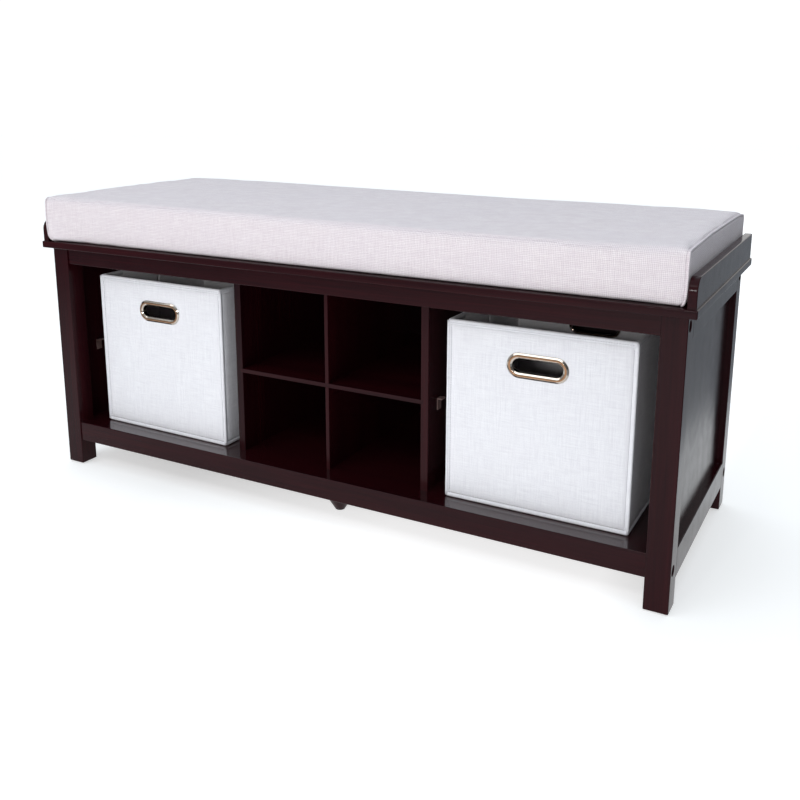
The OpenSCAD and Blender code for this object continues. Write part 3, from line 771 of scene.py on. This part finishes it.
def stops(half, marks, cell):
    """Stations from -half to half about a cell apart, with one at each mark."""
    fixed = sorted({-half, half, *marks, *(-m for m in marks)})
    found = []
    for a, b in zip(fixed, fixed[1:]):
        n = max(1, round((b - a) / cell))
        found += [a + (b - a) * i / n for i in range(n)]
    return found + [half]


def wall_ring(half, radius, marks, cell, arc):
    """The outline of a square with rounded corners, from the front left round by the right.

    Each station is its place, its outward direction and whether it lies on the front or rear wall.
    """
    straight = stops(half - radius, marks, cell)
    outline = []
    for quarter in range(4):
        turn = Matrix.Rotation(quarter * math.pi / 2, 3, "Z")
        for x in straight[:-1]:
            outline.append((turn @ Vector((x, -half, 0)), turn @ Vector((0, -1, 0)), quarter % 2 == 0))
        for i in range(arc):
            angle = math.pi / 2 * i / arc
            out = Vector((math.sin(angle), -math.cos(angle), 0))
            centre = Vector((half - radius, -half + radius, 0))
            outline.append((turn @ (centre + out * radius), turn @ out, False))
    return outline


def in_slot(place, z, on_end):
    """True if a place on a wall lies inside the opening behind a ring."""
    return on_end and abs(place.x) < HOLE_X and abs(z - RING_Z) < HOLE_Z


def wall_tube(half, radius, heights, marks, cell, shape):
    """The points and faces of a square tube of cloth with hand slots, and how many points go round it.

    shape(place, out, z) says how far the cloth stands out at a point.
    """
    outline = wall_ring(half, radius, marks, cell, 4)
    n = len(outline)
    points, faces = [], []
    for z in heights:
        for place, out, _ in outline:
            at = place + Vector((0, 0, z))
            points.append(at + out * shape(at, out, z))
    for k in range(len(heights) - 1):
        for i in range(n):
            j = (i + 1) % n
            middle = (outline[i][0] + outline[j][0]) / 2
            if not in_slot(middle, (heights[k] + heights[k + 1]) / 2, outline[i][2]):
                faces.append((k * n + i, k * n + j, (k + 1) * n + j, (k + 1) * n + i))
    return points, faces, n


def groove(distance, width, depth):
    """The depth of a soft groove at a distance from its middle."""
    return -depth * math.exp(-(distance / width) ** 2)


def bin_heights(low, high, cell):
    """Stations up a wall, with one at each edge of the hand slot and at the stitch lines."""
    marks = [HEM + step * MM for step in (-2.4, -1.2, 0, 1.2, 2.4)]
    fixed = sorted({low, high, RING_Z - HOLE_Z, RING_Z + HOLE_Z, *marks})
    found = []
    for a, b in zip(fixed, fixed[1:]):
        n = max(1, round((b - a) / cell))
        found += [a + (b - a) * i / n for i in range(n)]
    return found + [high]


def solid_cloth(made, thickness):
    """Gives a sheet its thickness, inwards from its outer face."""
    thick = made.modifiers.new("thickness", "SOLIDIFY")
    thick.thickness = thickness
    thick.offset = -1


def cover_shape(seed):
    """How a bin's outer cloth stands out: soft waves, drawn tight at the top and at its stitch lines."""
    corner = BIN_HALF - BIN_ROUND

    def shape(at, out, z):
        free = math.sin(math.pi * min(1, max(0, z / BIN_TALL))) ** 0.5
        side = at.y if abs(out.x) > 0.7 else at.x
        wave = noise.noise(Vector((at.x, at.y, z)) / 0.06 + Vector((seed, 0, 0)))
        bulge = 0.5 * MM * free * max(0, 1 - (side / corner) ** 4) + 0.35 * MM * free * wave
        ring = math.hypot(max(0, abs(at.x) - SLOT_HALF), z - RING_Z)
        if abs(out.y) > 0.7 and ring < TAUT:
            bulge *= smooth_step(ring, RING_OUT, TAUT)
        stitches = groove(z - HEM, 1.0 * MM, 1.5 * MM) + groove(abs(side) - SEAM, 1.0 * MM, 1.5 * MM)
        fold = groove(at.y, 1.5 * MM, 0.5 * MM) if abs(out.x) > 0.7 else 0
        return bulge + stitches + fold

    return shape


def bin_cover(side):
    """The outer cloth: a sewn tube with a hem."""
    heights = bin_heights(0.6 * MM, BIN_TALL - 4 * MM, 8 * MM)
    seed = 3.1 if side == "left" else 8.7
    marks = (HOLE_X, 0, 2 * MM, *(SEAM + step * MM for step in (-2.4, -1.2, 0, 1.2)))
    points, faces, _ = wall_tube(BIN_HALF, BIN_ROUND, heights, marks, 8 * MM, cover_shape(seed))
    made = bin_piece(side, "cover_sewn", points, faces, stands_for=["cover"])
    solid_cloth(made, 1.1 * MM)


def bin_bottom(side):
    """The cloth that closes the tube below."""
    rim = [p for p, _, _ in wall_ring(BIN_HALF - CLOTH, BIN_ROUND - CLOTH, (), 12 * MM, 4)]
    points = [Vector((p.x, p.y, z)) for z in (0.2 * MM, CLOTH) for p in rim]
    count = len(rim)
    edge = [(i, (i + 1) % count, count + (i + 1) % count, count + i) for i in range(count)]
    faces = [tuple(range(count))[::-1], tuple(range(count, 2 * count)), *edge]
    even_normals(bin_piece(side, "bottom_sewn", points, faces, stands_for=["bottom"]))


def bin_piping(side):
    """The sewn ridges up the four corners and round the bottom."""
    corner = BIN_HALF - BIN_ROUND + BIN_ROUND * math.sqrt(0.5)
    points, faces = [], []
    for sx in (-1, 1):
        for sy in (-1, 1):
            out, across = Vector((sx, sy, 0)).normalized(), Vector((-sy, sx, 0)).normalized()
            heights = np.linspace(2 * MM, BIN_TALL - 3 * MM, 40)
            path = [Vector((sx * corner, sy * corner, z)) for z in heights]
            path = [p + out * 0.12 * MM * noise.noise(p / 0.02) for p in path]
            directions = [out] * len(path), [across] * len(path)
            add_shape(points, faces, *sweep(path, *directions, round_profile(2.1 * MM, 12), closed=False))
    outline = wall_ring(BIN_HALF - 1 * MM, BIN_ROUND - 1 * MM, (), 10 * MM, 6)
    path = [p + Vector((0, 0, 3 * MM)) for p, _, _ in outline]
    up = [Vector((0, 0, 1))] * len(path)
    outwards = [out for _, out, _ in outline]
    add_shape(points, faces, *sweep(path, outwards, up, round_profile(1.9 * MM, 12, 1.45)))
    bin_piece(side, "piping", points, faces)


def stitch(points, faces, start, end, out, radius):
    """Adds one stitch: a short bent thread from start to end that stands out in its middle."""
    along = (end - start).normalized()
    across = along.cross(out)
    steps, sides = 4, 5
    for i in range(steps + 1):
        share = i / steps
        centre = start.lerp(end, share) + out * radius * (1.4 * math.sin(math.pi * share) - 0.5)
        for j in range(sides):
            t = 2 * math.pi * j / sides
            points.append(centre + (out * math.cos(t) + across * math.sin(t)) * radius)
    base = len(points) - (steps + 1) * sides
    for i in range(steps):
        for j in range(sides):
            a, b = base + i * sides + j, base + i * sides + (j + 1) % sides
            faces.append((a, b, b + sides, a + sides))
    faces.append(tuple(base + j for j in range(sides))[::-1])
    faces.append(tuple(base + steps * sides + j for j in range(sides)))


def bin_stitches(side):
    """Rows of stitches: above the bottom ridge, beside the corner ridges and under the rim."""
    points, faces = [], []
    pitch, thread = 3.4 * MM, 0.28 * MM
    for quarter in range(4):
        turn = Matrix.Rotation(quarter * math.pi / 2, 3, "Z")
        out = turn @ Vector((0, -1, 0))
        reach = BIN_HALF - BIN_ROUND
        for z, stand in ((HEM, -1.1 * MM), (BIN_TALL - 5.5 * MM, 0.15 * MM)):
            for i in range(int(2 * reach / pitch)):
                x = -reach + (i + 0.15) * pitch
                ends = [turn @ Vector((x + dx, -BIN_HALF - stand, z)) for dx in (0, 0.7 * pitch)]
                stitch(points, faces, *ends, out, thread)
        for x in (-SEAM, SEAM):
            for i in range(int((BIN_TALL - 22 * MM) / pitch)):
                z = 11 * MM + i * pitch
                ends = [turn @ Vector((x, -BIN_HALF + 1.1 * MM, z + dz)) for dz in (0, 0.7 * pitch)]
                stitch(points, faces, *ends, out, thread)
    bin_piece(side, "stitches", points, faces, look=THREAD)


def bin_rim(side):
    """The cloth folded over the top of the walls."""
    outer, inner, top = BIN_HALF + 0.25 * MM, RIM_HALF - 0.35 * MM, BIN_TALL
    thick = outer - inner
    half_thick = thick / 2
    turns = [math.pi * i / 8 for i in range(9)]
    arch = [(half_thick * math.cos(t), (half_thick - 0.4 * MM) * math.sin(t) - half_thick) for t in turns]
    skirt = 7.5 * MM
    profile = [(half_thick, -skirt)] + arch + [(-half_thick, -skirt), (-half_thick + 0.6 * MM, -skirt)]
    inner_arch = [(0.88 * a, 0.82 * (b + half_thick) - half_thick) for a, b in reversed(arch)]
    profile += inner_arch + [(half_thick - 0.6 * MM, -skirt)]
    outline = wall_ring(outer - half_thick, BIN_ROUND - half_thick + 0.25 * MM, (), 9 * MM, 6)
    path = []
    for p, _, _ in outline:
        sag = 0.35 * MM * noise.noise(Vector((p.x, p.y, 0)) / 0.05)
        path.append(p + Vector((0, 0, top - 0.4 * MM + sag)))
    up = [Vector((0, 0, 1))] * len(path)
    points, faces = sweep(path, [out for _, out, _ in outline], up, profile)
    bin_piece(side, "rim_folded", points, faces, stands_for=["rim_tape"])


def lining_shape(at, out, z):
    """The lining: soft waves, and a crease up the middle of each side wall, where the bin folds flat."""
    wave = 0.25 * MM * noise.noise(Vector((at.x, at.y, z)) / 0.05 + Vector((0, 5, 0))) - 0.3 * MM
    if abs(out.x) > 0.7:
        loose = 2.0 * MM * math.exp(-(at.y / 0.05) ** 2) * smooth_step(z, 0.01, 0.04)
        wave -= loose + groove(at.y, 2.0 * MM, 2.4 * MM) * smooth_step(z, 0.01, 0.04)
    return wave


def bin_lining(side):
    """The lining: four walls with hand slots, and a floor, sewn as one bag."""
    heights = bin_heights(CLOTH + LINING, BIN_TALL - 5 * MM, 10 * MM)
    marks = (HOLE_X, 0, MM, 2 * MM, 3.2 * MM, 5 * MM)
    points, faces, n = wall_tube(RIM_HALF, 2 * MM, heights, marks, 10 * MM, lining_shape)
    faces = [face[::-1] for face in faces] + [tuple(range(n))]
    made = bin_piece(side, "lining_sewn", points, faces, "lining_fabric", stands_for=["lining"])
    solid_cloth(made, 0.7 * MM)


def bin_base(side):
    """The loose base board, wrapped in lining cloth."""
    low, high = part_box(side + "_bin_base_board")
    half, tall = 122.5 * MM, high.z - low.z
    counts = [40, 40, 2]
    index, faces = box_grid(counts)
    floor = low.z - BIN_PLACE[side].translation.z
    stations = [[size * i / n for i in range(n + 1)] for size, n in zip((2 * half, 2 * half, tall), counts)]
    edge = tall / 2 - 0.01 * MM
    points = rounded_box(index, stations, (-half, -half, floor), edge, edge)
    puff = 0.25 * MM * ripple(points, 0.05, 11)
    points[:, 2] += np.where(points[:, 2] > floor + tall * 0.6, puff - 0.1 * MM, 0)
    made = bin_piece(side, "base_wrapped", points, faces, "lining_fabric", stands_for=["base_board"],
                     body="bin_base")
    finer = made.modifiers.new("finer", "SUBSURF")
    finer.levels = finer.render_levels = 1


def slot_outline(arc):
    """The line at the heart of a hand slot, run round once: places and outward directions, as (x, z)."""
    outline = []
    for sign in (1, -1):
        for i in range(arc + 1):
            t = -math.pi / 2 + math.pi * i / arc
            outline.append(((sign * SLOT_HALF, 0), (sign * math.cos(t), sign * math.sin(t))))
    return outline


def on_wall(outline, y, facing):
    """A slot outline on a wall as sweep directions: places, outward directions and the wall's facing."""
    path = [Vector((x, y, RING_Z + z)) for (x, z), _ in outline]
    outwards = [Vector((x, 0, z)) for _, (x, z) in outline]
    return path, outwards, [Vector((0, facing, 0))] * len(path)


def bevelled(outer, inner, proud, back):
    """The profile of a ring: a bevel on each side of a low crown, then a barrel going back."""
    bevel = 1.25 * proud
    rim = [(outer - 0.3 * MM, 0.1 * MM), (outer, 0.35 * MM), (outer - 0.3 * MM, 0.6 * MM)]
    crown = [
        (outer - bevel, proud), (outer - bevel - 0.3 * MM, proud * 1.06),
        ((outer + inner) / 2, proud * 1.15),
        (inner + bevel + 0.3 * MM, proud * 1.06), (inner + bevel, proud),
    ]
    mouth = [(inner + 0.4 * MM, 0.7 * MM), (inner, 0.3 * MM)]
    barrel = [(inner, -back), (inner + BARREL, -back), (inner + BARREL, -0.1 * MM)]
    return rim + crown + mouth + barrel + [(outer - 0.6 * MM, -0.1 * MM)]


def bin_rings(side):
    """The metal rings of both hand slots: outer halves with their barrels, and the plates inside."""
    outline = slot_outline(20)
    outer_half = bevelled(RING_OUT, RING_IN, RING_PROUD, BIN_HALF - RIM_HALF + 1.2 * MM)
    plate = bevelled(RING_OUT - 2 * MM, RING_IN + BARREL + 0.1 * MM, 1.4 * MM, 0.6 * MM)
    for part, profile, y, way in (
        ("rings", outer_half, BIN_HALF + 0.1 * MM, 1),
        ("back_rings", plate, RIM_HALF, -1),
    ):
        points, faces = [], []
        for wall in (-1, 1):
            facing = wall * way
            new_points, new_faces = sweep(*on_wall(outline, wall * y, facing), profile)
            if facing > 0:
                new_faces = [face[::-1] for face in new_faces]
            add_shape(points, faces, new_points, new_faces)
        even_normals(bin_piece(side, part + "_polished", points, faces, "ring_metal", stands_for=[part]))


for side in SIDES:
    bin_cover(side)
    bin_bottom(side)
    bin_piping(side)
    bin_stitches(side)
    bin_rim(side)
    bin_lining(side)
    bin_base(side)
    bin_rings(side)

# ---- floor, light and camera ----


def floor():
    """A wide floor, white round the bench and pale grey further off at the front left and the right: a
    painted pool of light with painted shade beyond it. It also glows by itself, most from the middle to the
    right of the bench, which paints light into the shadows under it.
    """
    size = 12
    corners = [(-size, -size, 0), (size, -size, 0), (size, size, 0), (-size, size, 0)]
    mesh = mesh_of("floor", corners, [(0, 1, 2, 3)])
    made = bpy.data.objects.new("floor", mesh)
    scene.collection.objects.link(made)
    s = Shader("floor")
    x, y, _ = s.node("SeparateXYZ", {0: s.point()}).outputs
    left = s.math("ADD", s.math("MULTIPLY", x, -0.62), s.math("MULTIPLY", y, -0.785))
    right = s.math("ADD", x, s.math("MULTIPLY", y, 0.1))
    # Painted shade: the floor turns grey further off at the front left and the right, so the wood's faces
    # reflect it darker.
    shade = s.math("MAXIMUM", s.range(left, 1.0, 2.2), s.range(right, 0.653, 0.69))
    # Painted light: the floor shines by itself, most from the middle to the right of the bench, lightening
    # the shadows under it; in the grey zones it barely shines.
    painted_glow = s.math("MINIMUM", s.range(x, -0.3, 0.1, 0.49, 0.72), s.range(x, 0.42, 0.52, 0.72, 0.49))
    mesh.materials.append(s.finish(
        Base_Color=s.blend(shade, (0.68, 0.68, 0.68, 1), (0.34, 0.35, 0.37, 1)),
        Emission_Color=(1, 1, 1, 1), Emission_Strength=s.mix(shade, painted_glow, 0.03),
        Roughness=0.8, Specular_IOR_Level=0.1,
    ))


def softbox(name, place, target, size, radiance):
    """A rectangular light of a given brightness that faces a target."""
    lamp = bpy.data.lights.new(name, "AREA")
    lamp.shape = "RECTANGLE"
    lamp.size, lamp.size_y = size
    lamp.energy = radiance * math.pi * size[0] * size[1]
    made = bpy.data.objects.new(name, lamp)
    made.location = place
    made.rotation_mode = "QUATERNION"
    made.rotation_quaternion = (Vector(target) - Vector(place)).to_track_quat("-Z", "Y")
    scene.collection.objects.link(made)


def sky():
    """White light behind the bench, cooler from overhead, and dimmer from the front and from the right."""
    world = bpy.data.worlds.new("sky")
    scene.world = world
    world.use_nodes = True
    tree = world.node_tree
    parts = tree.nodes.new("ShaderNodeSeparateXYZ")
    tree.links.new(tree.nodes.new("ShaderNodeTexCoord").outputs["Generated"], parts.inputs[0])

    def fade(socket, low, high, to_low, to_high):
        ramp = tree.nodes.new("ShaderNodeMapRange")
        ramp.interpolation_type = "SMOOTHSTEP"
        tree.links.new(socket, ramp.inputs[0])
        for n, value in enumerate((low, high, to_low, to_high), 1):
            ramp.inputs[n].default_value = value
        return ramp.outputs[0]

    def joined(operation, a, b):
        made = tree.nodes.new("ShaderNodeMath")
        made.operation = operation
        tree.links.new(a, made.inputs[0])
        tree.links.new(b, made.inputs[1])
        return made.outputs[0]

    right_end, behind, overhead = parts.outputs
    around = joined("MULTIPLY", fade(right_end, 0.0, 0.6, 1.08, 0.3), fade(behind, -0.4, 0.3, 0.5, 1.0))
    strength = joined("MAXIMUM", around, fade(overhead, 0.45, 0.85, 0.0, 1.0))
    tint = tree.nodes.new("ShaderNodeMix")
    tint.data_type = "RGBA"
    tree.links.new(fade(overhead, 0.2, 0.8, 0.0, 1.0), tint.inputs[0])
    tint.inputs[6].default_value = (1.0, 1.0, 1.0, 1)
    tint.inputs[7].default_value = (0.87, 0.98, 1.06, 1)
    background = tree.nodes["Background"]
    tree.links.new(tint.outputs[2], background.inputs[0])
    tree.links.new(strength, background.inputs[1])


def camera():
    """Looks at the front and the right end of the bench from a little above."""
    lens = bpy.data.cameras.new("camera")
    lens.sensor_fit = "HORIZONTAL"
    lens.sensor_width = 36
    lens.lens = 41.84
    lens.shift_x = 0.0114
    lens.shift_y = -0.1247
    made = bpy.data.objects.new("camera", lens)
    azimuth, elevation = math.radians(28.957), math.radians(12.533)
    ahead = Vector((-math.sin(azimuth) * math.cos(elevation), math.cos(azimuth) * math.cos(elevation),
                    -math.sin(elevation)))
    made.location = (0.72586, -1.26843, 0.6356)
    made.rotation_mode = "QUATERNION"
    made.rotation_quaternion = ahead.to_track_quat("-Z", "Y")
    scene.collection.objects.link(made)
    scene.camera = made


floor()
sky()
softbox("key", (-1.3, -2.3, 1.35), (0, 0, 0.3), (1.5, 0.35), 4)
softbox("canopy", (-0.6, -1.85, 2.0), (-0.3, 0, 0.3), (3.4, 0.5), 2.4)
softbox("spark", (0.1, -2.5, 0.66), (0.4, -0.2, 0.4), (0.14, 0.14), 90)
softbox("front", (0.85, -3.2, 1.09), (0, 0, 0.3), (0.6, 0.2), 47)
camera()
scene.view_settings.view_transform = "Standard"
